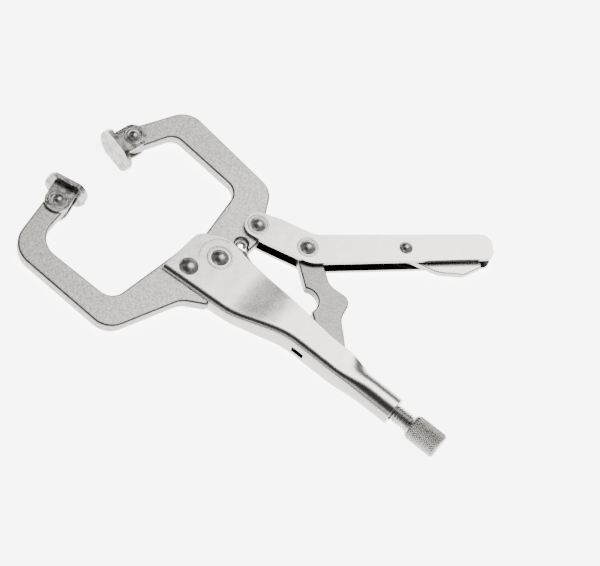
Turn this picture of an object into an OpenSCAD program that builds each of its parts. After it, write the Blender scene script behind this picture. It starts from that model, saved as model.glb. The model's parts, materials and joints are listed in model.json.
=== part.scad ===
// Locking C-clamp pliers with swivel pads, lying flat on one side.
// Lengths in the drawing frame are measured from the jaw pivot: X to the rear along the
// adjusting screw, Y towards the lever, Z along the rivets. The finished part is moved so
// that its origin is the middle of the fixed pad's clamping face.

/* [Jaws] */
// Distance from the jaw pivot forward to the fixed pad's pin
reach = 59.6; // [52:0.1:75]
// Depth of the fixed jaw's bow below the jaw pivot
fixed_depth = 51; // [46:0.1:62]
// Height of the moving jaw's bow above the jaw pivot
moving_height = 43; // [38:0.1:52]
// Width of the bows
arm_w = 11; // [9:0.1:13]
// Thickness of the jaws
jaw_t = 5; // [4:0.1:7]
// Width of a jaw's round tip
tip_w = 9.2; // [7:0.1:11]

/* [Pads] */
// Diameter of a pad's round plate
pad_d = 17; // [14:0.1:21]
// Thickness of a pad's plate
pad_t = 2; // [1.2:0.1:2.6]
// Distance from a pad's pin to the back of its plate
pad_back = 6.6; // [6:0.1:9]
// Thickness of a pad's ears
ear_t = 1.2; // [0.8:0.1:1.8]
// Tilt of the fixed pad at rest, in degrees
fixed_pad_tilt = 12; // [0:1:20]
// Tilt of the moving pad at rest, in degrees
moving_pad_tilt = -14; // [-20:1:0]

/* [Body] */
// Distance from the jaw pivot back to the body's rear end
body_l = 86; // [80:0.1:105]
// Thickness of the body's sheet
sheet_t = 1.6; // [1.2:0.1:2]
// Width of the body's rear channel
rear_w = 11; // [10.4:0.1:14]
// Outside radius of the bends between the walls and the spine
bend_r = 2.8; // [2.2:0.1:3.4]
// Length of the round threaded barrel at the rear
barrel_l = 12; // [9:0.1:16]
// Length of the spring slot in the spine
slot_l = 5; // [4:0.1:7]
// Width of the spring slot
slot_w = 2.6; // [1.4:0.1:3]

/* [Lever] */
// Distance between the lever's two rivets
lever_reach = 20.45; // [18:0.05:24]
// Length of the lever's handle behind its bend
handle_l = 70; // [58:0.1:85]
// Upward bend of the handle, in degrees
lever_bend = 28.4; // [20:0.1:32]
// Thickness of the lever's sheet
lever_t = 1.5; // [1.2:0.1:1.8]
// Depth of the lever's channel
lever_depth = 12.2; // [11:0.1:14]

/* [Link] */
// Distance from the link's rivet to the middle of its rear end
link_l = 47.2; // [45:0.1:48]
// Thickness of the link
link_t = 4.4; // [3:0.1:4.8]
// Radius of the link's rear end
link_end_r = 3.5; // [3:0.1:3.7]

/* [Release lever] */
// Length of the release lever
release_l = 47; // [42:0.5:52]
// Thickness of the release lever
release_t = 3; // [2:0.1:4]

/* [Rivets] */
// Diameter of the jaw pivot's shank and of the fixed jaw's rivet
pivot_d = 5; // [4:0.1:6]
// Head diameter of the jaw pivot
pivot_head_d = 6.8; // [6.4:0.1:8]
// Head diameter of the fixed jaw's rivet
fixed_head_d = 7.4; // [6.4:0.1:9]
// Diameter of the lever rivets' shanks
lever_pin_d = 4.2; // [3.4:0.1:5]
// Head diameter of the lever rivets
lever_head_d = 6.2; // [5.6:0.1:7]
// Diameter of the pad pins and of the release pin
pad_pin_d = 3.4; // [2.6:0.1:4]
// Head diameter of the pad pins and of the release pin
pad_head_d = 5.2; // [4.6:0.1:6]
// Height of a rivet's domed head
head_h = 1.7; // [1:0.1:2.2]

/* [Screw] */
// Outside diameter of the adjusting screw's thread
screw_d = 7; // [5.6:0.1:7.4]
// Diameter of the knurled knob
knob_d = 10; // [9:0.1:12]
// Length of the knurled knob
knob_l = 12.5; // [10:0.1:18]
// Distance from the body's rear end to the knob's rear end
knob_out = 21; // [18:0.1:40]

/* [Spring] */
// Wire diameter of the return spring
wire_d = 1.2; // [0.8:0.1:1.3]
// Outside diameter of the return spring's coil
coil_d = 5; // [4:0.1:5.2]
// Turns of the return spring
coil_turns = 19; // [14:1:24]

/* [Clearances] */
// Side clearance between a jaw and the walls beside it
side_gap = 0.1; // [0.05:0.01:0.2]
// Radial clearance of a turning pin
run_gap = 0.05; // [0.02:0.01:0.08]
// Clearance between the two jaws' hubs
hub_gap = 0.4; // [0.3:0.1:0.8]
// Clearance between the link's end and the adjusting screw
link_gap = 1.6; // [1.5:0.1:3]

/* [Hidden] */

$fn = 48;
arc_step = 6;                             // degrees between the points of a rounded corner
side_min = 0.4;                           // shortest side that rounds a corner
flat = 0.4;                               // straight side left in the middle of a round end
cut = 1;                                  // how far a cutting shape runs past a face
thin = 0.01;                              // thickness of the slices that a hull joins
steel = "silver";
bright = "gainsboro";

// Places, from the jaw pivot
fixed_rivet = [-6.25, -10.8];             // rivet that holds the fixed jaw in the body
lever_rivet = [1.7, 21.1];                // rivet of the lever on the moving jaw
spring_eye = [1.6, 11.4];                 // hole that holds the spring on the moving jaw
fixed_pin = [-reach, -22.6];              // pin of the fixed pad
moving_pin = [2.7 - reach, 18.5];         // pin of the moving pad
screw_y = -3.5;                           // height of the adjusting screw's axis
lever_angle = 15.3;                       // direction from the first lever rivet to the second
link_angle = -39.2;                       // direction of the link at rest

// Body: outside of the spine and the walls
hub_r = 7.5;                              // radius of the moving jaw's hub about the pivot
wall_in = jaw_t / 2 + side_gap;           // half the width between the front walls
wall_out = wall_in + sheet_t;
rear_out = rear_w / 2;
rear_floor = screw_y - rear_w / 2 - 0.1;  // outside of the spine at the rear
rear_top = screw_y + rear_w / 2;
barrel_x = body_l - barrel_l;
flare_x = barrel_x - 10;                  // where the channel starts to close into the barrel
jaw_slot_x = 8;                           // ahead of this the spine is slotted for the jaw
front_x = -13.4;
slot_x = 42.2;                            // front end of the spring slot
spine = [                                 // stations along the spine: x, outside y, half width
    [front_x, -18.3, wall_out],
    [17, -16.3, wall_out],
    [38, rear_floor - 0.2, rear_out],
    [flare_x, rear_floor, rear_out],
];

// Lever: its own frame starts at its first rivet, with x towards the second
lever_in = wall_in + 0.05;                // half the width between the lever's walls
lever_out = lever_in + lever_t;
eye_r = 4.9;                              // radius of the lever's front end
lever_top = 6.3;                          // outside of the lever's spine above the rivets
lever_low = lever_top - lever_depth;      // lower edge of the lever's walls
bend_x = lever_reach + 2;                 // where the lever's middle line bends
lever_spine_x = 5.5;                      // ahead of this the spine is open for the jaw
release_place = [36, 0.6];                // release pin, along and across the handle

// Adjusting screw
link_rivet = lever_rivet + lever_reach * direction(lever_angle);
link_end = link_rivet + link_l * direction(link_angle);
screw_tip = link_end.x + link_end_r + link_gap;
knob_end = body_l + knob_out;
knob_x = knob_end - knob_l;
spring_anchor = [slot_x + slot_l / 2, rear_floor + sheet_t + 0.9];

// Origin of the finished part
pad_face = pad_back + pad_t;
origin = fixed_pin + pad_face * direction(90 + fixed_pad_tilt);

function direction(angle) = [cos(angle), sin(angle)];
function unit(v) = v / norm(v);
function turn_between(a, b) = (b - a + 540) % 360 - 180;

// Arc of radius r that rounds the corner b between the sides towards a and c
function corner_arc(a, b, c, r) =
    let (
        u = unit(a - b),
        w = unit(c - b),
        half = acos(u * w) / 2,
        centre = b + unit(u + w) * r / sin(half),
        from = b + u * r / tan(half) - centre,
        to = b + w * r / tan(half) - centre,
        start = atan2(from.y, from.x),
        sweep = turn_between(start, atan2(to.y, to.x)),
        length = r * abs(sweep) * PI / 180,
        steps = max(1, min(ceil(abs(sweep) / arc_step), floor(length / side_min)))
    )
    [for (i = [0:steps]) centre + r * direction(start + sweep * i / steps)];

// Outline with a rounded corner at each [x, y, radius]
function rounded(corners) =
    let (count = len(corners))
    [
        for (i = [0:count - 1])
            let (
                before = corners[(i + count - 1) % count],
                here = corners[i],
                after = corners[(i + 1) % count],
                place = [here.x, here.y]
            )
            each here.z > 0
                ? corner_arc([before.x, before.y], place, [after.x, after.y], here.z)
                : [place]
    ];

// The two corners of a jaw's round tip about its pin, on an arm that leaves at an angle
function tip(pin, angle, side) =
    let (
        r = tip_w / 2,
        corner = pin - r * direction(angle) + side * r * direction(angle + 90)
    )
    [corner.x, corner.y, r - flat / 2];

// A place on the lever's handle: along it from the bend, and across it
function on_handle(along, across) =
    [bend_x, 0] + along * direction(lever_bend) + across * direction(lever_bend + 90);

// Moves a shape from the jaw pivot's frame to the finished part's
module placed() {
    translate([-origin.x, -origin.y, 0]) children();
}

// Puts a shape in the lever's own frame
module on_lever() {
    translate([lever_rivet.x, lever_rivet.y, 0]) rotate([0, 0, lever_angle]) children();
}

module plate(corners, thickness) {
    linear_extrude(thickness, center = true) polygon(rounded(corners));
}

module hole(place, r, depth = 40) {
    translate([place.x, place.y, 0]) cylinder(r = r, h = depth, center = true);
}

// Shank along Z with a domed head at each end
module rivet(place, shank_d, head_d, half_grip) {
    head_r = head_d / 2;
    dome_r = (head_r * head_r + head_h * head_h) / (2 * head_h);
    translate([place.x, place.y, 0]) {
        cylinder(d = shank_d, h = 2 * half_grip + head_h, center = true);
        for (side = [0, 1])
            mirror([0, 0, side])
                translate([0, 0, half_grip])
                    intersection() {
                        cylinder(r = head_r, h = head_h);
                        translate([0, 0, head_h - dome_r]) sphere(r = dome_r);
                    }
    }
}

// Thin slice across a channel at x: flat sides, rounded where they meet the spine
module slice(x, spine_y, open_y, half_w, r) {
    side = [
        [open_y, -half_w, 0],
        [spine_y, -half_w, r],
        [spine_y, half_w, r],
        [open_y, half_w, 0],
    ];
    translate([x, 0, 0]) rotate([90, 0, 90]) linear_extrude(thin) polygon(rounded(side));
}

module body_side() {
    corners = [
        [front_x, -18.4, 1.5],
        [17, -16.4, 12],
        [38, rear_floor - 0.3, 30],
        [body_l + cut, rear_floor - 0.3, 0],
        [body_l + cut, rear_top, 0],
        [52, rear_top + 0.4, 30],
        [7, 7.2, 30],
        [-3.2, 9.3, 9],
        [-12.6, 3, 5],
    ];
    plate(corners, 2 * rear_w);
}

module body_outside() {
    open_y = 20;
    for (i = [0:len(spine) - 2])
        hull()
            for (s = [spine[i], spine[i + 1]]) slice(s.x, s.y, open_y, s.z, bend_r);
    hull() {
        slice(flare_x, rear_floor, rear_top, rear_out, bend_r);
        translate([barrel_x, screw_y, 0]) rotate([0, 90, 0]) cylinder(d = rear_w, h = thin);
    }
}

module body_inside() {
    open_y = 30;
    inner_r = bend_r - sheet_t;
    for (i = [0:len(spine) - 2]) {
        back = i == len(spine) - 2 ? barrel_x - spine[i + 1].x : 0;
        front = i == 0 ? -cut : 0;
        hull() {
            slice(spine[i].x + front, spine[i].y + sheet_t, open_y, spine[i].z - sheet_t, inner_r);
            slice(spine[i + 1].x + back, spine[i + 1].y + sheet_t, open_y,
                spine[i + 1].z - sheet_t, inner_r);
        }
    }
}

module body() color(steel) placed() {
    difference() {
        union() {
            intersection() {
                body_outside();
                body_side();
            }
            translate([barrel_x, screw_y, 0]) rotate([0, 90, 0]) cylinder(d = rear_w, h = barrel_l);
        }
        body_inside();
        translate([front_x - cut, -30, -wall_in]) cube([jaw_slot_x - front_x + cut, 25, 2 * wall_in]);
        translate([slot_x, rear_floor - cut, -slot_w / 2]) cube([slot_l, 2 * cut + sheet_t, slot_w]);
        translate([barrel_x - cut, screw_y, 0])
            rotate([0, 90, 0]) cylinder(d = screw_d + 2 * run_gap, h = barrel_l + 2 * cut);
        hole([0, 0], pivot_d / 2);
        hole(fixed_rivet, pivot_d / 2);
    }
}

// The fixed jaw's bow, from its round tip down, along and up into the body
module fixed_jaw() color(steel) placed() {
    front = -reach;
    low = -fixed_depth;
    corners = [
        tip(fixed_pin, -84, 1),
        tip(fixed_pin, -84, -1),
        [front - 0.9, low + 1.8, arm_w],
        [-12, low - 0.2, arm_w - 2],
        [0.2, -23, 8],
        [8.6, -17.6, 0.8],
        [7.7, -16, 0.8],
        [7.4, -10, 0],
        [hub_r - 2.5, -4.6, 0],
        [-13.1, -4.6, 1.2],
        [-18.6, low + arm_w - 0.1, arm_w - 5],
        [front + 5.2, low + arm_w, arm_w - 2],
    ];
    difference() {
        plate(corners, jaw_t);
        hole([0, 0], hub_r + hub_gap);
        hole(fixed_rivet, pivot_d / 2);
        hole(fixed_pin, pad_pin_d / 2 + run_gap);
    }
}

// The moving jaw's bow, from its round tip up, along and down to its hub in the body
module moving_jaw() color(steel) placed() {
    front = moving_pin.x;
    high = moving_height;
    corners = [
        tip(moving_pin, 64.7, 1),
        [front + 7.9, high + 0.2, arm_w - 2],
        [-4.4, high - 5.3, arm_w - 2],
        [6, 17, 5],
        [5.8, 9.6, 0.5],
        [hub_r - 2.7, -2, 0],
        [0, 0, 0],
        [-6.2, -2.6, 0],
        [-10.8, 5, 2],
        [-13.6, high - arm_w - 4.1, arm_w - 5],
        [front + 10.7, high - arm_w - 1.5, arm_w - 6],
        tip(moving_pin, 64.7, -1),
    ];
    slot_angle = atan2(spring_anchor.y - spring_eye.y, spring_anchor.x - spring_eye.x);
    difference() {
        union() {
            plate(corners, jaw_t);
            hole([0, 0], hub_r, jaw_t);
        }
        hole([0, 0], pivot_d / 2 + run_gap);
        hole(lever_rivet, lever_pin_d / 2 + run_gap);
        hole(moving_pin, pad_pin_d / 2 + run_gap);
        hole(spring_eye, 1.9 * wire_d);
        translate([spring_eye.x, spring_eye.y, 0])
            rotate([0, 0, slot_angle])
                translate([0, -0.6 * wire_d, -jaw_t]) cube([8, 1.2 * wire_d, 2 * jaw_t]);
    }
}

module lever_side() {
    low_end = on_handle(handle_l, lever_low + 1.6);
    high_end = on_handle(handle_l, lever_top);
    corners = [
        [-eye_r, -eye_r, eye_r - flat / 2],
        [5, lever_low + 0.1, 12],
        [bend_x - lever_low * tan(lever_bend / 2), lever_low, 9],
        [low_end.x, low_end.y, 3.5],
        [high_end.x, high_end.y, 4.5],
        [bend_x - lever_top * tan(lever_bend / 2), lever_top, 10],
        [6, lever_top, 5],
        [-eye_r, eye_r, eye_r - flat / 2],
    ];
    plate(corners, 2 * lever_out);
}

// Space between the lever's walls: open below, behind, and ahead of the spine
module lever_inside() {
    under = lever_top - lever_t;
    far = 20;
    corners = [
        [-2 * eye_r, -far],
        [-2 * eye_r, far],
        [lever_spine_x, far],
        [lever_spine_x, under],
        [bend_x - under * tan(lever_bend / 2), under],
        on_handle(handle_l + far, under),
        on_handle(handle_l + far, -far),
    ];
    linear_extrude(2 * lever_in, center = true) polygon(corners);
}

module lever() color(steel) placed() on_lever() {
    difference() {
        lever_side();
        lever_inside();
        hole([0, 0], lever_pin_d / 2);
        hole([lever_reach, 0], lever_pin_d / 2);
        hole(on_handle(release_place.x, release_place.y), pad_pin_d / 2);
    }
}

// The link's own frame starts at its rivet, with x towards its rear end
module link() color(steel) placed() {
    head_r = 4.6;
    notch_r = 5.2;
    end_x = link_l + link_end_r;
    corners = [
        [-head_r, -head_r, head_r - flat / 2],
        [28, -head_r + 0.6, 20],
        [end_x, -link_end_r, link_end_r - flat / 2],
        [end_x, link_end_r, link_end_r - flat / 2],
        [40, 5.4, 20],
        [29.6, 6.4, 8],
        [22.9, 12.1, 4],
        [15.8, 5.2, 7],
        [-head_r, head_r, head_r - flat / 2],
    ];
    translate([link_rivet.x, link_rivet.y, 0])
        rotate([0, 0, link_angle])
            difference() {
                plate(corners, link_t);
                hole([0, 0], lever_pin_d / 2 + run_gap);
                hole([notch_r + 15.4, -5.7], notch_r);
            }
}

// Flat lever inside the handle, between the link's hump and a finger tab near the end
module release_lever() color(steel) placed() on_lever() {
    nose = release_place.x - 18;
    tail = nose + release_l;
    corners = [
        [nose, -0.6, 0.8],
        [nose, 2.6, 1.5],
        [release_place.x - 6, 3.4, 6],
        [release_place.x + 5, 3.4, 4],
        [tail - 12, -3.6, 12],
        [tail, -4.2, 1],
        [tail, -6.4, 1.1],
        [tail - 7, -9.6, 5],
        [release_place.x + 12, -8.6, 10],
        [release_place.x + 3, -4, 8],
        [release_place.x - 8, -0.8, 6],
    ];
    translate([bend_x, 0, 0]) rotate([0, 0, lever_bend])
        difference() {
            plate(corners, release_t);
            hole(release_place, pad_pin_d / 2 + run_gap);
        }
}

// Threaded shank with a rounded tip and a knurled knob, turned about the screw's axis
module adjusting_screw() color(bright) placed() {
    shank_r = screw_d / 2;
    knob_r = knob_d / 2;
    bevel = 0.8;
    profile = [
        [0, screw_tip],
        [shank_r - 1.2, screw_tip],
        [shank_r, screw_tip + 1.2],
        [shank_r, knob_x - 1.5],
        [knob_r - bevel - 0.3, knob_x - 0.3],
        [knob_r, knob_x + bevel],
        [knob_r, knob_end - bevel],
        [knob_r - bevel, knob_end],
        [0, knob_end],
    ];
    translate([0, screw_y, 0]) rotate([0, 90, 0]) rotate_extrude() polygon(profile);
}

// Tension spring from the moving jaw's eye to the slot in the spine
module spring() color(bright) placed() {
    run = spring_anchor - spring_eye;
    run_l = norm(run);
    wire_r = wire_d / 2;
    coil_l = coil_turns * wire_d;
    coil_start = run_l - coil_l - 4;
    neck_r = coil_d / 2 - wire_d;
    eye_bend_r = 1.25 * wire_d;
    outline = [
        [0, 0],
        [neck_r, 0],
        for (i = [0:coil_turns - 1])
            for (a = [-75:30:75])
                [coil_d / 2 - wire_r + wire_r * cos(a), (i + 0.5) * wire_d + wire_r * sin(a)],
        [neck_r, coil_l],
        [0, coil_l],
    ];
    translate([spring_eye.x, spring_eye.y, 0]) rotate([0, 0, atan2(run.y, run.x)]) {
        rotate_extrude() translate([eye_bend_r, 0]) circle(r = wire_r, $fn = 24);
        rotate([0, 90, 0]) {
            translate([0, 0, eye_bend_r]) cylinder(r = wire_r, h = run_l - eye_bend_r, $fn = 24);
            translate([0, 0, coil_start]) rotate_extrude() polygon(outline);
        }
    }
    translate([spring_anchor.x, spring_anchor.y, 0]) {
        rotate([90, 0, 0]) cylinder(r = wire_r, h = 0.9 + sheet_t, $fn = 24);
    }
}

// Round plate with two flats and two round-ended ears, drawn about its pin, plate towards +Y
module pad() {
    ear_in = jaw_t / 2 + side_gap;
    ear_out = ear_in + ear_t;
    ear_r = tip_w / 2 + 0.3;
    flat_z = 0.4 * pad_d;
    ear = [
        [-ear_r, -ear_r, ear_r - flat / 2],
        [ear_r, -ear_r, ear_r - flat / 2],
        [ear_r, pad_face - pad_t / 2, 0],
        [-ear_r, pad_face - pad_t / 2, 0],
    ];
    difference() {
        union() {
            intersection() {
                translate([0, pad_face, 0]) rotate([90, 0, 0]) cylinder(d = pad_d, h = pad_t);
                translate([-pad_d, 0, -flat_z]) cube([2 * pad_d, 2 * pad_face, 2 * flat_z]);
            }
            plate(ear, 2 * ear_out);
        }
        translate([-pad_d, -2 * pad_face, -ear_in]) cube([2 * pad_d, 2 * pad_face + pad_back, 2 * ear_in]);
        hole([0, 0], pad_pin_d / 2);
    }
}

module fixed_pad() color(bright) placed() {
    translate([fixed_pin.x, fixed_pin.y, 0]) rotate([0, 0, fixed_pad_tilt]) pad();
}

module moving_pad() color(bright) placed() {
    translate([moving_pin.x, moving_pin.y, 0]) rotate([0, 0, moving_pad_tilt + 180]) pad();
}

module jaw_pivot_rivet() color(bright) placed() {
    rivet([0, 0], pivot_d, pivot_head_d, wall_out);
}

module fixed_jaw_rivet() color(bright) placed() {
    rivet(fixed_rivet, pivot_d, fixed_head_d, wall_out);
}

module lever_jaw_rivet() color(bright) placed() {
    rivet(lever_rivet, lever_pin_d, lever_head_d, lever_out);
}

module lever_link_rivet() color(bright) placed() {
    rivet(link_rivet, lever_pin_d, lever_head_d, lever_out);
}

module release_pin() color(bright) placed() on_lever() {
    place = on_handle(release_place.x, release_place.y);
    rivet(place, pad_pin_d, pad_head_d, lever_out);
}

module fixed_pad_pin() color(bright) placed() {
    rivet(fixed_pin, pad_pin_d, pad_head_d, jaw_t / 2 + side_gap + ear_t);
}

module moving_pad_pin() color(bright) placed() {
    rivet(moving_pin, pad_pin_d, pad_head_d, jaw_t / 2 + side_gap + ear_t);
}

body();
fixed_jaw();
moving_jaw();
lever();
link();
release_lever();
adjusting_screw();
spring();
fixed_pad();
moving_pad();
jaw_pivot_rivet();
fixed_jaw_rivet();
lever_jaw_rivet();
lever_link_rivet();
release_pin();
fixed_pad_pin();
moving_pad_pin();
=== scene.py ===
"""Looks for the locking C-clamp pliers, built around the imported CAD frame."""

import json
import math

import bmesh
import bpy
import numpy as np
from mathutils import Matrix, Vector


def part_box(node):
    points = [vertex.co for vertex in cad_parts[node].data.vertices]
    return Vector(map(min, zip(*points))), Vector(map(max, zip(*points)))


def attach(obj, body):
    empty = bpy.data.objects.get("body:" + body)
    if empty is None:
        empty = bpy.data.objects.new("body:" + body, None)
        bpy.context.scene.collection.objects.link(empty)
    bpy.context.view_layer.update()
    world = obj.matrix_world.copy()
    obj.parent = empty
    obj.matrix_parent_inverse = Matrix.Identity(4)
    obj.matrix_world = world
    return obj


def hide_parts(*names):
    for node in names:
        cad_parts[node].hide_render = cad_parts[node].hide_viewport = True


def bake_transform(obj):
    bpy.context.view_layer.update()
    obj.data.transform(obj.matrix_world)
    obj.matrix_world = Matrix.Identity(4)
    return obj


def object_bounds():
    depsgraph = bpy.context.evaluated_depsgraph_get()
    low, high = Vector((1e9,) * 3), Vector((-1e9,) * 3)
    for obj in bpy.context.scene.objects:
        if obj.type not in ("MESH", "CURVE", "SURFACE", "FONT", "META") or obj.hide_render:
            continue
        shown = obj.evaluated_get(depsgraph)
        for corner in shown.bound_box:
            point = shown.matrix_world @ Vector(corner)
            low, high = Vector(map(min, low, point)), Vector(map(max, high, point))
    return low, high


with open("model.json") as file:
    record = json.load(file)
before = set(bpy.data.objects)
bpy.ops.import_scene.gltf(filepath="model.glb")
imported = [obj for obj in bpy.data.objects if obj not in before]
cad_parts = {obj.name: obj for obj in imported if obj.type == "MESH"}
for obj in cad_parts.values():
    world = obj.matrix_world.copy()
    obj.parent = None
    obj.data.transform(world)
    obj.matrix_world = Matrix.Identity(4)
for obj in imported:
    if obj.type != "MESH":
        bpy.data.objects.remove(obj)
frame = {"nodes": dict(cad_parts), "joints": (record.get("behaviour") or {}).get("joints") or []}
cad_box = [list(corner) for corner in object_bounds()]

MM = 0.001
NODES = frame["nodes"]
JOINTS = {joint["name"]: joint for joint in frame["joints"]}

# The jaw pivot, from which the drawing's lengths in mm are measured
PIVOT = Vector(JOINTS["jaw_pivot"]["pos_m"])


# ---------------------------------------------------------------- camera and stage

# The camera: angles in degrees, distance in m, lens in mm, and the point it looks at
VIEW_AZIMUTH = -70.67
VIEW_ELEVATION = 60.0
VIEW_ROLL = 21.1
VIEW_DISTANCE = 0.96866
VIEW_LENS = 156.0
VIEW_SENSOR = 36.0
VIEW_CENTRE = Vector((0.08911, 0.02885, 0.0))

FLOOR_SIZE = 3.0
FLOOR_GLOW = 6.5
WORLD_GLOW = 0.45
# Panel lights: name, place, the point it faces, width and height in m, radiance
PANELS = [
    ("main_panel", (0.12, 0.33, 0.6), (0.08, 0.02, 0), (0.4, 0.5), 5.5),
    ("front_strip", (0.05, -0.85, 0.46), (0.08, 0, 0), (0.6, 0.1), 5.0),
]
# Dark flags in the sky: azimuth, elevation, radius of the core and of the fade, darkness
FLAGS = [(132, 52, 10, 26, 0.95), (-98, 62, 16, 36, 0.9), (160, 20, 10, 30, 0.8)]


def sphere_direction(azimuth, elevation):
    """The unit vector that points to an azimuth and elevation in degrees."""
    a, e = math.radians(azimuth), math.radians(elevation)
    return Vector((math.cos(e) * math.cos(a), math.cos(e) * math.sin(a), math.sin(e)))


def add_camera():
    data = bpy.data.cameras.new("camera")
    data.lens = VIEW_LENS
    data.sensor_width = VIEW_SENSOR
    data.clip_start = 0.01
    camera = bpy.data.objects.new("camera", data)
    bpy.context.scene.collection.objects.link(camera)
    out = sphere_direction(VIEW_AZIMUTH, VIEW_ELEVATION)
    roll = Matrix.Rotation(math.radians(VIEW_ROLL), 4, "Z")
    turn = (-out).to_track_quat("-Z", "Y").to_matrix().to_4x4() @ roll
    camera.matrix_world = Matrix.Translation(VIEW_CENTRE + out * VIEW_DISTANCE) @ turn
    bpy.context.scene.camera = camera


def add_panel(name, place, aim, size, radiance):
    """A soft panel light at a place, facing another, as bright all over as the radiance says."""
    data = bpy.data.lights.new(name, "AREA")
    data.shape = "RECTANGLE"
    data.size, data.size_y = size
    data.energy = math.pi * size[0] * size[1] * radiance
    light = bpy.data.objects.new(name, data)
    bpy.context.scene.collection.objects.link(light)
    look = Vector(aim) - Vector(place)
    turn = look.to_track_quat("-Z", "Y").to_matrix().to_4x4()
    light.matrix_world = Matrix.Translation(Vector(place)) @ turn


def studio_world():
    """An even pale sky with soft dark flags, which give the metal its darker bands."""
    world = bpy.data.worlds.new("studio")
    world.use_nodes = True
    tree = world.node_tree
    direction = tree.nodes.new("ShaderNodeTexCoord").outputs["Generated"]
    level = None
    for azimuth, elevation, inner, outer, darkness in FLAGS:
        dot = tree.nodes.new("ShaderNodeVectorMath")
        dot.operation = "DOT_PRODUCT"
        dot.inputs[1].default_value = sphere_direction(azimuth, elevation)
        tree.links.new(direction, dot.inputs[0])
        fade = tree.nodes.new("ShaderNodeMapRange")
        fade.interpolation_type = "SMOOTHSTEP"
        fade.inputs["From Min"].default_value = math.cos(math.radians(outer))
        fade.inputs["From Max"].default_value = math.cos(math.radians(inner))
        fade.inputs["To Min"].default_value = 1.0
        fade.inputs["To Max"].default_value = 1.0 - darkness
        tree.links.new(dot.outputs["Value"], fade.inputs["Value"])
        product = tree.nodes.new("ShaderNodeMath")
        product.operation = "MULTIPLY"
        product.inputs[1].default_value = WORLD_GLOW
        if level:
            tree.links.new(level, product.inputs[1])
        tree.links.new(fade.outputs["Result"], product.inputs[0])
        level = product.outputs[0]
    background = tree.nodes["Background"]
    background.inputs["Color"].default_value = (1, 1, 1, 1)
    tree.links.new(level, background.inputs["Strength"])
    return world


def add_stage():
    low = min(corner[2] for corner in cad_box)
    bpy.ops.mesh.primitive_plane_add(size=FLOOR_SIZE, location=(0.1, 0, low))
    floor = bpy.context.object
    floor.name = "floor"
    white = plain_material("floor_white", (0.9, 0.9, 0.9), 0.7)
    shader = white.node_tree.nodes["Principled BSDF"]
    shader.inputs["Emission Color"].default_value = (1, 1, 1, 1)
    shader.inputs["Emission Strength"].default_value = FLOOR_GLOW
    floor.data.materials.append(white)
    bpy.context.scene.world = studio_world()
    for panel in PANELS:
        add_panel(*panel)


def plain_material(name, colour, roughness):
    material = bpy.data.materials.new(name)
    material.use_nodes = True
    shader = material.node_tree.nodes["Principled BSDF"]
    shader.inputs["Base Color"].default_value = (*colour, 1)
    shader.inputs["Roughness"].default_value = roughness
    return material


# ---------------------------------------------------------------- materials


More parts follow.
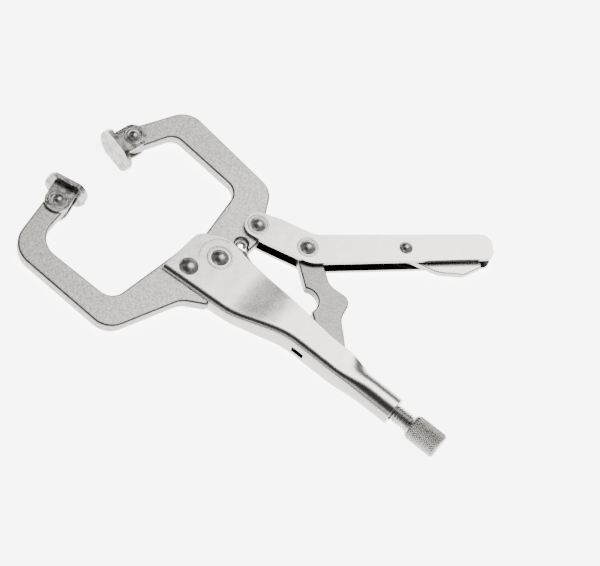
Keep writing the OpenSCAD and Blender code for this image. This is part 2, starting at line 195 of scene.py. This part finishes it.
class Nodes:
    """Short helpers for building a material's node tree."""

    def __init__(self, name):
        self.material = bpy.data.materials.new(name)
        self.material.use_nodes = True
        self.tree = self.material.node_tree
        self.shader = self.tree.nodes["Principled BSDF"]
        self.coordinates = self.tree.nodes.new("ShaderNodeTexCoord").outputs["Object"]

    def set(self, **values):
        for key, value in values.items():
            self.shader.inputs[key.replace("_", " ")].default_value = value

    def link(self, source, target):
        self.tree.links.new(source, target)

    def noise(self, per_mm, detail=3.0, roughness=0.55):
        mapping = self.tree.nodes.new("ShaderNodeMapping")
        mapping.inputs["Scale"].default_value = [1000 * per_mm] * 3
        self.link(self.coordinates, mapping.inputs["Vector"])
        texture = self.tree.nodes.new("ShaderNodeTexNoise")
        texture.inputs["Scale"].default_value = 1.0
        texture.inputs["Detail"].default_value = detail
        texture.inputs["Roughness"].default_value = roughness
        self.link(mapping.outputs["Vector"], texture.inputs["Vector"])
        return texture.outputs["Fac"]

    def ramp(self, source, low, high, dark, light):
        node = self.tree.nodes.new("ShaderNodeValToRGB")
        node.color_ramp.elements[0].position = low
        node.color_ramp.elements[1].position = high
        node.color_ramp.elements[0].color = (*dark, 1)
        node.color_ramp.elements[1].color = (*light, 1)
        self.link(source, node.inputs["Fac"])
        return node.outputs["Color"]

    def spread(self, source, low, high):
        node = self.tree.nodes.new("ShaderNodeMapRange")
        node.inputs["To Min"].default_value = low
        node.inputs["To Max"].default_value = high
        self.link(source, node.inputs["Value"])
        return node.outputs["Result"]

    def math(self, operation, a, b):
        node = self.tree.nodes.new("ShaderNodeMath")
        node.operation = operation
        for value, socket in ((a, node.inputs[0]), (b, node.inputs[1])):
            if isinstance(value, float):
                socket.default_value = value
            else:
                self.link(value, socket)
        return node.outputs[0]

    def painted_edge_shade(self, colour, side, edge):
        """Painted shade: darkens a plate's sides and, more, its rounded edges, by how far their faces
        turn from the plate's face.
        """
        normal = self.tree.nodes.new("ShaderNodeSeparateXYZ")
        self.link(self.coordinates.node.outputs["Normal"], normal.inputs[0])
        tone = self.tree.nodes.new("ShaderNodeValToRGB")
        # Painted shade by the normal's tilt: sides take the side value, bevels the edge value, flat
        # faces stay unshaded
        points = ((0.0, side), (0.35, side), (0.5, edge), (0.93, edge), (0.995, 1.0))
        for position, value in points[1:-1]:
            tone.color_ramp.elements.new(position).color = (value, value, value, 1)
        for element, (_, value) in ((tone.color_ramp.elements[0], points[0]),
                                    (tone.color_ramp.elements[-1], points[-1])):
            element.color = (value, value, value, 1)
        tone.color_ramp.elements[-1].position = points[-1][0]
        self.link(self.math("ABSOLUTE", normal.outputs["Z"], 0.0), tone.inputs["Fac"])
        node = self.tree.nodes.new("ShaderNodeMix")
        node.data_type = "RGBA"
        node.blend_type = "MULTIPLY"
        node.inputs["Factor"].default_value = 1.0
        self.link(colour, node.inputs[6])
        self.link(tone.outputs["Color"], node.inputs[7])
        return node.outputs[2]

    def facing_inwards(self):
        """1 on faces that look towards the object's middle plane, 0 on the others: the mask for the
        painted inside shade.
        """
        texture = self.coordinates.node
        place = self.tree.nodes.new("ShaderNodeSeparateXYZ")
        normal = self.tree.nodes.new("ShaderNodeSeparateXYZ")
        self.link(self.coordinates, place.inputs[0])
        self.link(texture.outputs["Normal"], normal.inputs[0])
        side = self.math("SIGN", place.outputs["Z"], 0.0)
        outward = self.math("MULTIPLY", side, normal.outputs["Z"])
        return self.math("LESS_THAN", outward, -0.4)

    def mixed(self, share, colour, other):
        node = self.tree.nodes.new("ShaderNodeMix")
        node.data_type = "RGBA"
        self.link(share, node.inputs["Factor"])
        self.link(colour, node.inputs[6])
        node.inputs[7].default_value = (*other, 1)
        return node.outputs[2]

    def bump(self, *layers):
        """Stacked bumps from (height, strength, distance in mm)."""
        last = None
        for height, strength, distance in layers:
            node = self.tree.nodes.new("ShaderNodeBump")
            node.inputs["Strength"].default_value = strength
            node.inputs["Distance"].default_value = distance * MM
            self.link(height, node.inputs["Height"])
            if last:
                self.link(last, node.inputs["Normal"])
            last = node.outputs["Normal"]
        self.link(last, self.shader.inputs["Normal"])


def warm(value):
    """A nickel tone, slightly yellow."""
    return (value, value * 0.975, value * 0.91)


def blasted_nickel():
    """Nickel plate over sand-blasted plate: an even speckle and faint clouds."""
    m = Nodes("blasted_nickel")
    m.set(Metallic=1.0)
    clouds = m.noise(0.12, 2.0)
    grain = m.noise(1.3, 3.0, 0.7)
    colour = m.ramp(grain, 0.35, 0.65, warm(0.36), warm(0.78))
    # Painted shade on the sides and rounded edges
    m.link(m.painted_edge_shade(colour, 0.36, 0.2), m.shader.inputs["Base Color"])
    m.link(m.spread(grain, 0.32, 0.5), m.shader.inputs["Roughness"])
    m.bump((clouds, 0.12, 0.3), (grain, 0.8, 0.14))
    return m.material


def satin_nickel(name, low=0.62, high=0.76, painted_inside_shade=False):
    """Nickel plate on pressed sheet: smooth, with a faint grain and soft dents; painted shade on its
    sides and edges, and on its inward faces when asked.
    """
    m = Nodes(name)
    m.set(Metallic=1.0)
    clouds = m.noise(0.09, 2.0)
    grain = m.noise(1.5, 3.0, 0.65)
    colour = m.ramp(grain, 0.35, 0.65, warm(low), warm(high))
    # Painted shade on the sides and rounded edges
    colour = m.painted_edge_shade(colour, 0.4, 0.45)
    if painted_inside_shade:
        # Inward faces painted near black: painted shade inside the channel
        colour = m.mixed(m.facing_inwards(), colour, (0.03, 0.03, 0.03))
    m.link(colour, m.shader.inputs["Base Color"])
    m.link(m.spread(grain, 0.2, 0.34), m.shader.inputs["Roughness"])
    m.bump((clouds, 0.25, 0.5), (grain, 0.1, 0.04))
    return m.material


def bright_nickel():
    """Smeared, handled plate of the pads."""
    m = Nodes("bright_nickel")
    m.set(Metallic=1.0)
    smear = m.noise(0.45, 4.0, 0.65)
    colour = m.ramp(smear, 0.38, 0.62, warm(0.22), warm(0.7))
    # Painted shade on the sides and rounded edges
    m.link(m.painted_edge_shade(colour, 0.4, 0.4), m.shader.inputs["Base Color"])
    m.link(m.spread(smear, 0.2, 0.36), m.shader.inputs["Roughness"])
    m.bump((smear, 0.5, 0.15))
    return m.material


def polished_steel():
    """Polished rivet heads."""
    m = Nodes("polished_steel")
    m.set(Metallic=1.0)
    smear = m.noise(1.0, 3.0)
    m.link(m.ramp(smear, 0.3, 0.7, warm(0.24), warm(0.42)), m.shader.inputs["Base Color"])
    m.link(m.spread(smear, 0.22, 0.36), m.shader.inputs["Roughness"])
    m.bump((smear, 0.25, 0.06))
    return m.material


def spring_steel():
    """Dark drawn wire of the spring."""
    m = Nodes("spring_steel")
    m.set(Metallic=1.0)
    streak = m.noise(1.5, 3.0)
    m.link(m.ramp(streak, 0.3, 0.7, warm(0.1), warm(0.3)), m.shader.inputs["Base Color"])
    m.link(m.spread(streak, 0.25, 0.4), m.shader.inputs["Roughness"])
    m.bump((streak, 0.2, 0.03))
    return m.material


# ---------------------------------------------------------------- lines and meshes


def rounded(corners, step=4.0):
    """Open line with an arc of the given radius inside each (x, y, radius) corner."""
    points = [Vector(corners[0][:2])]
    for before, here, after in zip(corners, corners[1:], corners[2:]):
        b = Vector(here[:2])
        u = (Vector(before[:2]) - b).normalized()
        w = (Vector(after[:2]) - b).normalized()
        half = u.angle(w) / 2
        centre = b + (u + w).normalized() * here[2] / math.sin(half)
        start = b + u * here[2] / math.tan(half) - centre
        sweep = math.pi - 2 * half
        turn = sweep if u.x * w.y - u.y * w.x < 0 else -sweep
        count = max(2, math.ceil(math.degrees(sweep) / step))
        for i in range(count + 1):
            points.append(centre + Matrix.Rotation(turn * i / count, 2) @ start)
    points.append(Vector(corners[-1][:2]))
    return points


def spaced(points, spacing):
    """Points at even steps along a line, with its length at each."""
    run = [0.0]
    for a, b in zip(points, points[1:]):
        run.append(run[-1] + (b - a).length)
    steps = np.linspace(0, run[-1], round(run[-1] / spacing) + 1)
    xs = np.interp(steps, run, [p.x for p in points])
    ys = np.interp(steps, run, [p.y for p in points])
    return [Vector(p) for p in zip(xs, ys)], steps


def smooth(value, low, high):
    """An eased step from 0 at low to 1 at high."""
    t = min(max((value - low) / (high - low), 0.0), 1.0)
    return t * t * (3 - 2 * t)


def placed(x, y, z):
    """A place measured from the jaw pivot in mm, in the shared frame."""
    return Vector((PIVOT.x + x * MM, PIVOT.y + y * MM, z * MM))


def new_piece(name, vertices, faces, material, body):
    """A closed piece from its vertices and faces, with the faces turned outwards."""
    mesh = bpy.data.meshes.new(name)
    mesh.from_pydata([tuple(v) for v in vertices], [], faces)
    bm = bmesh.new()
    bm.from_mesh(mesh)
    bmesh.ops.recalc_face_normals(bm, faces=bm.faces)
    bm.to_mesh(mesh)
    bm.free()
    return adopt(name, mesh, material, body)


def adopt(name, mesh, material, body):
    """Makes a mesh a smooth shaded piece with one material, riding on a body."""
    mesh.materials.clear()
    mesh.materials.append(material)
    for polygon in mesh.polygons:
        polygon.use_smooth = True
        polygon.material_index = 0
    piece = bpy.data.objects.new(name, mesh)
    bpy.context.scene.collection.objects.link(piece)
    if body:
        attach(piece, body)
    return piece


def soften(piece, width, clamp=True):
    """Rounded edges whose highlights leave the flat faces flat."""
    bevel = piece.modifiers.new("bevel", "BEVEL")
    bevel.width = width * MM
    bevel.segments = 4
    bevel.limit_method = "ANGLE"
    bevel.angle_limit = math.radians(35)
    bevel.use_clamp_overlap = clamp
    bevel.harden_normals = True


def refined(node, material, body, width, clamp=True):
    """A copy of a CAD node with its coplanar facets merged and its edges rounded."""
    mesh = NODES[node].data.copy()
    bm = bmesh.new()
    bm.from_mesh(mesh)
    bmesh.ops.remove_doubles(bm, verts=bm.verts, dist=1e-6)
    bmesh.ops.dissolve_limit(bm, angle_limit=math.radians(0.4), verts=bm.verts, edges=bm.edges)
    for layer in list(bm.loops.layers.float_vector):
        bm.loops.layers.float_vector.remove(layer)
    bm.to_mesh(mesh)
    bm.free()
    if "custom_normal" in mesh.attributes:
        mesh.attributes.remove(mesh.attributes["custom_normal"])
    piece = adopt(node + "_finish", mesh, material, body)
    soften(piece, width, clamp)
    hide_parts(node)


def grid_faces(rows, columns, closed=False):
    """Quads between neighbouring rows of points; closed rows join their ends."""
    last = columns if closed else columns - 1
    return [
        (r * columns + c, r * columns + (c + 1) % columns,
         (r + 1) * columns + (c + 1) % columns, (r + 1) * columns + c)
        for r in range(rows - 1)
        for c in range(last)
    ]


def wire(name, points, radius, material, body=None, sides=10):
    """A round wire along points in the shared frame."""
    vertices = []
    tangent = (points[1] - points[0]).normalized()
    side = tangent.orthogonal().normalized()
    for i, point in enumerate(points):
        ahead = points[min(i + 1, len(points) - 1)]
        behind = points[max(i - 1, 0)]
        tangent = (ahead - behind).normalized()
        side = (side - tangent * side.dot(tangent)).normalized()
        up = tangent.cross(side)
        for k in range(sides):
            a = math.tau * k / sides
            vertices.append(point + (side * math.cos(a) + up * math.sin(a)) * radius)
    faces = grid_faces(len(points), sides, closed=True)
    faces.append(tuple(range(sides)))
    faces.append(tuple(range(len(vertices) - sides, len(vertices))))
    return new_piece(name, vertices, faces, material, body)


# ---------------------------------------------------------------- body shell

SHEET = 1.6                 # thickness of the body's sheet, mm
BEND = 2.8                  # outside radius of its bends
FRONT_HALF = 4.2            # half width at the jaws
REAR_HALF = 5.5             # half width at the rear, and the barrel's radius
BORE = 3.6                  # radius of the barrel's bore
AXIS = -3.5                 # height of the screw's axis
JAW_SLOT = 8.0              # ahead of this the spine is open for the jaws
SPRING_SLOT = (42.2, 47.2)  # the spring slot's two ends
SPRING_SLOT_HALF = 1.3      # and half its width
# Corners of the body's rim and spine from the rear forward: x, y and the corner's radius
BODY_RIM = [(86, 2, 0), (52, 2.3, 30), (7, 7.1, 30), (-3.2, 9.2, 9), (-12.6, 3, 5), (-13.35, -13, 0)]
BODY_SPINE = [(86, -9.05, 0), (38, -9.2, 30), (17, -16.3, 30), (-13.4, -18.3, 0)]
WALL_ROWS = 8               # points down a wall
ARC = [0, 16, 32, 48, 64.6, 77, 90]      # degrees round a bend; the jaw slot cuts at 64.6
OUTER_CUT = WALL_ROWS + 3                # column where the jaw slot cuts the outside
INNER_CUT = WALL_ROWS - 1                # and the inside


def half_section(foot, rim, half, corner_r):
    """One half of a section: down the wall, round the bend and to the middle of the spine."""
    top = foot + corner_r
    points = [(rim + (top - rim) * i / (WALL_ROWS - 1), half) for i in range(WALL_ROWS)]
    for degrees in ARC[1:]:
        a = math.radians(degrees)
        points.append((top - corner_r * math.sin(a), half - corner_r * (1 - math.cos(a))))
    points += [(foot, SPRING_SLOT_HALF), (foot, 0.0)]
    return points


def round_section(radius, points):
    """The same points drawn round the barrel, with a thin seam at the top."""
    start = math.atan2(points[0][0] - AXIS, points[0][1])
    ring = []
    for y, z in points:
        a = math.atan2(y - AXIS, z)
        a = math.radians(89) + (a - start) * math.radians(179) / (math.radians(90) + start)
        ring.append((AXIS + radius * math.sin(a), radius * math.cos(a)))
    return ring


def body_stations():
    """Rim point, and x of the spine below it, from the rear forward."""
    rim, run = spaced(rounded(BODY_RIM), 1.25)
    turn = next(i for i, p in enumerate(rim) if p.x < -6)
    stations = []
    for i, point in enumerate(rim):
        share = (run[i] - run[turn]) / (run[-1] - run[turn])
        stations.append([point, point.x if i < turn else -6 - 7.4 * share])
    for edge in (JAW_SLOT, *SPRING_SLOT):
        nearest = min(stations, key=lambda s: abs(s[1] - edge))
        nearest[1] = edge
    return stations


def body_shell(material):
    """The pressed channel: outside and inside skins joined along their edges and slots."""
    spine = sorted((p.x, p.y) for p in rounded(BODY_SPINE, 1.0))
    spine_x, spine_y = zip(*spine)
    stations = body_stations()
    outer, inner = [], []
    for rim, x in stations:
        foot = float(np.interp(x, spine_x, spine_y))
        half = FRONT_HALF + (REAR_HALF - FRONT_HALF) * smooth(x, 14, 34)
        close = smooth(x, 60, 75)
        for rows, inset, radius in ((outer, 0.0, REAR_HALF), (inner, SHEET, BORE)):
            points = half_section(foot + inset, rim.y, half - inset, BEND - inset)
            ring = round_section(radius, points)
            row = []
            for i, ((y, z), (ring_y, ring_z)) in enumerate(zip(points, ring)):
                down = min(i / (WALL_ROWS - 1), 1.0)
                here = rim.x + (x - rim.x) * down
                row.append((here, y + (ring_y - y) * close, z + (ring_z - z) * close))
            rows.append([(a, b, -c) for a, b, c in row] + [(a, b, c) for a, b, c in reversed(row[:-1])])
    columns = len(outer[0])
    last = columns - 1
    middle = last // 2
    rows = len(stations)
    vertices = [placed(*p) for grid in (outer, inner) for row in grid for p in row]

    def out(s, c):
        return s * columns + c

    def inn(s, c):
        return (rows + s) * columns + c

    xs = [s[1] for s in stations]
    slot_row = xs.index(JAW_SLOT)
    rear_slot, front_slot = xs.index(SPRING_SLOT[1]), xs.index(SPRING_SLOT[0])
    faces = []
    for s in range(rows - 1):
        in_jaw_slot = s >= slot_row
        in_spring_slot = rear_slot <= s < front_slot
        for c in range(last):
            hole = in_spring_slot and middle - 1 <= c < middle + 1
            if not (hole or (in_jaw_slot and OUTER_CUT <= c < last - OUTER_CUT)):
                faces.append((out(s, c), out(s, c + 1), out(s + 1, c + 1), out(s + 1, c)))
            if not (hole or (in_jaw_slot and INNER_CUT <= c < last - INNER_CUT)):
                faces.append((inn(s, c), inn(s, c + 1), inn(s + 1, c + 1), inn(s + 1, c)))
        for c in (0, last):
            faces.append((out(s, c), out(s + 1, c), inn(s + 1, c), inn(s, c)))
        if in_jaw_slot:
            for a, b in ((OUTER_CUT, INNER_CUT), (last - OUTER_CUT, last - INNER_CUT)):
                faces.append((out(s, a), out(s + 1, a), inn(s + 1, b), inn(s, b)))
        if in_spring_slot:
            for c in (middle - 1, middle + 1):
                faces.append((out(s, c), out(s + 1, c), inn(s + 1, c), inn(s, c)))
    for s in (rear_slot, front_slot):
        for c in (middle - 1, middle):
            faces.append((out(s, c), out(s, c + 1), inn(s, c + 1), inn(s, c)))
    outer_span = list(range(OUTER_CUT, last - OUTER_CUT + 1))
    inner_span = list(range(INNER_CUT, last - INNER_CUT + 1))
    slot_outer = [out(slot_row, c) for c in outer_span]
    slot_inner = [inn(slot_row, c) for c in reversed(inner_span)]
    faces.append(tuple(slot_outer + slot_inner))
    for c in range(last):
        faces.append((out(0, c), out(0, c + 1), inn(0, c + 1), inn(0, c)))
    front = rows - 1
    for side in (1, -1):
        ends = (0, OUTER_CUT, INNER_CUT) if side > 0 else (last, last - OUTER_CUT, last - INNER_CUT)
        down = [out(front, c) for c in range(ends[0], ends[1] + side, side)]
        back = [inn(front, c) for c in range(ends[2], ends[0] - side, -side)]
        faces.append(tuple(down + back))
    piece = new_piece("body_shell", vertices, faces, material, "body")
    soften(piece, 0.3, clamp=False)
    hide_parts("body")


# ---------------------------------------------------------------- spring, screw and small details

WIRE_R = 0.6                # radius of the spring's wire, mm
COIL_R = 1.9                # radius of its coil, to the wire's middle
COIL_TURNS = 19
PER_TURN = 20               # points in one turn of the coil
SPRING_EYE = (1.6, 11.4)    # hole that holds it on the moving jaw
SPRING_HOOK = (44.7, -6.6)  # where it hooks on to the body


def helical_spring(material):
    """Eye, straight neck, coil and hook; the coil has a set length and the neck takes up the rest."""
    eye, hook = Vector(SPRING_EYE), Vector(SPRING_HOOK)
    run = hook - eye
    length = run.length
    along = run.normalized()
    across = Vector((-along.y, along.x))
    coil_l = COIL_TURNS * 2 * WIRE_R
    start = length - coil_l - 4

    def at(s, side, z):
        p = eye + along * s + across * side
        return placed(p.x, p.y, z)

    points = []
    for i in range(23):
        a = math.radians(-160 + 145 * 2 * i / 24)
        points.append(at(1.5 * math.cos(a + math.pi), 1.5 * math.sin(a + math.pi), 0))
    points += [at(s, 0, 0) for s in (3.2, 6, 10, 14, start - 2.5)]
    count = COIL_TURNS * PER_TURN
    for i in range(count + 1):
        a = math.tau * i / PER_TURN
        ease = min(1.0, i / PER_TURN, (count - i) / PER_TURN)
        r = COIL_R * ease
        points.append(at(start + coil_l * i / count, r * math.cos(a), r * math.sin(a)))
    points += [at(length - 2.5, 0, 0), at(length - 0.8, 0, 0)]
    points += [placed(hook.x + 0.3, hook.y - d, 0) for d in (0.4, 1.0)]
    spring = wire("spring_coil", points, WIRE_R * MM, material)
    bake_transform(spring)
    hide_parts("spring")


THREAD_PITCH = 1.25         # mm
KNURLS = 34                 # knurl lines round the knob, each way
KNOB_LENGTH = 12.5
COLLAR_LENGTH = 1.5         # cone between the thread and the knob


def wave(t):
    """A triangle wave from 0 to 1, once for each whole step of t."""
    return abs((t % 1.0) * 2 - 1)


def screw_radius(x, share, tip, knob, end):
    """Radius of the adjusting screw at x and at a share of a turn."""
    if x < knob - COLLAR_LENGTH:
        thread = 0.55 * smooth(wave(x / THREAD_PITCH - share), 0.2, 0.8)
        return min(3.5 - thread, 2.3 + (x - tip))
    if x < knob:
        return 3.1 + 1.6 * (x - knob + COLLAR_LENGTH) / COLLAR_LENGTH
    inset = max(0.0, 0.8 - (x - knob), 0.8 - (end - x))
    cut = max(wave(share * KNURLS + x / 1.3), wave(share * KNURLS - x / 1.3))
    return 5.0 - inset - 0.42 * smooth(cut, 0.45, 1.0)


def adjusting_screw(material):
    """The threaded screw and its cross-knurled knob, turned as one piece."""
    low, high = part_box("adjusting_screw")
    tip, end = [(value - PIVOT.x) / MM for value in (low[0], high[0])]
    knob = end - KNOB_LENGTH
    collar = knob - COLLAR_LENGTH
    columns = KNURLS * 5
    xs = [*np.arange(tip, collar, THREAD_PITCH / 7), *np.arange(collar, end, 0.2), end]
    vertices = []
    for x in xs:
        for c in range(columns):
            share = c / columns
            r = screw_radius(x, share, tip, knob, end)
            a = math.tau * share
            vertices.append(placed(x, AXIS + r * math.sin(a), r * math.cos(a)))
    faces = grid_faces(len(xs), columns, closed=True)
    faces.append(tuple(range(columns)))
    faces.append(tuple(range(len(vertices) - columns, len(vertices))))
    piece = new_piece("screw_and_knob", vertices, faces, material, "adjusting_screw")
    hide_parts("adjusting_screw")


# Section of a raised line, across and up from its middle, mm
LINE_PROFILE = [(-0.45, -0.1), (-0.25, 0.1), (0.0, 0.16), (0.3, 0.1), (0.6, -0.1)]
LINE_COLUMNS = 64


def pressed_line(name, node, radius, z, material, body, span=(0, 360)):
    """A low raised line round a rivet, on both sides, from one angle to another."""
    low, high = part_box(node)
    centre = [(a + b) / 2 for a, b in zip(low, high)]
    closed = span[1] - span[0] == 360
    columns = LINE_COLUMNS
    for side, label in ((1, "near"), (-1, "far")):
        vertices = []
        for step, rise in LINE_PROFILE:
            for c in range(columns):
                share = c / (columns if closed else columns - 1)
                a = math.radians(span[0] + (span[1] - span[0]) * share)
                ease = 1.0 if closed else smooth(min(share, 1 - share), 0.0, 0.15)
                r = (radius + step) * MM
                height = z + (rise if rise < 0 else rise * ease - 0.02 * (1 - ease))
                x = centre[0] + r * math.cos(a)
                y = centre[1] + r * math.sin(a)
                vertices.append((x, y, side * height * MM))
        faces = grid_faces(len(LINE_PROFILE), columns, closed=closed)
        last = (len(LINE_PROFILE) - 1) * columns
        for c in range(columns if closed else columns - 1):
            after = (c + 1) % columns
            faces.append((last + c, last + after, after, c))
        if not closed:
            faces.append(tuple(range(0, len(vertices), columns)))
            faces.append(tuple(range(columns - 1, len(vertices), columns)))
        new_piece(f"{name}_{label}", vertices, faces, material, body)


# ---------------------------------------------------------------- assembly


def repaint(node, material):
    """Gives a CAD node that is shown as it is its material."""
    mesh = NODES[node].data
    mesh.materials.clear()
    mesh.materials.append(material)


def make_pieces():
    """Every piece in its material; the rivets and pins are the CAD nodes, painted."""
    blasted, satin, bright = blasted_nickel(), satin_nickel("satin_nickel"), bright_nickel()
    steel, dark_wire = polished_steel(), spring_steel()
    # The lever and the body shell take this nickel, with painted shade on their inward faces
    satin_with_painted_inside_shade = satin_nickel("nickel_painted_inside_shade", painted_inside_shade=True)
    # The link: a darker copy of the satin nickel, painted shade as if it lay in shadow
    link_satin_painted_shade = satin_nickel("link_nickel_painted_shade", 0.15, 0.27)
    # The number is the rounding of the edges in mm, which clamp=False keeps full size
    refined("fixed_jaw", blasted, "body", 0.9, clamp=False)
    refined("moving_jaw", blasted, "moving_jaw", 0.9, clamp=False)
    refined("lever", satin_with_painted_inside_shade, "lever", 0.3)
    refined("link", link_satin_painted_shade, "link", 0.6, clamp=False)
    refined("release_lever", satin, "release_lever", 0.5, clamp=False)
    refined("fixed_pad", bright, "fixed_pad", 0.2)
    refined("moving_pad", bright, "moving_pad", 0.2)
    body_shell(satin_with_painted_inside_shade)
    helical_spring(dark_wire)
    adjusting_screw(steel)
    hub = FRONT_HALF - 0.08
    pressed_line("pivot_ring", "jaw_pivot_rivet", 4.5, FRONT_HALF, satin, "body")
    pressed_line("hub_crease", "jaw_pivot_rivet", 7.6, hub, satin_with_painted_inside_shade, "body",
                 span=(80, 240))
    pressed_line("lever_ring", "lever_jaw_rivet", 3.7, 4.15, satin, "lever")
    pressed_line("link_ring", "lever_link_rivet", 3.7, 4.15, satin, "lever")
    pressed_line("fixed_pad_ring", "fixed_pad_pin", 3.4, 3.8, bright, "fixed_pad")
    pressed_line("moving_pad_ring", "moving_pad_pin", 3.4, 3.8, bright, "moving_pad")
    for node in NODES:
        if node.endswith(("rivet", "pin")):
            repaint(node, steel)


add_camera()
add_stage()
make_pieces()
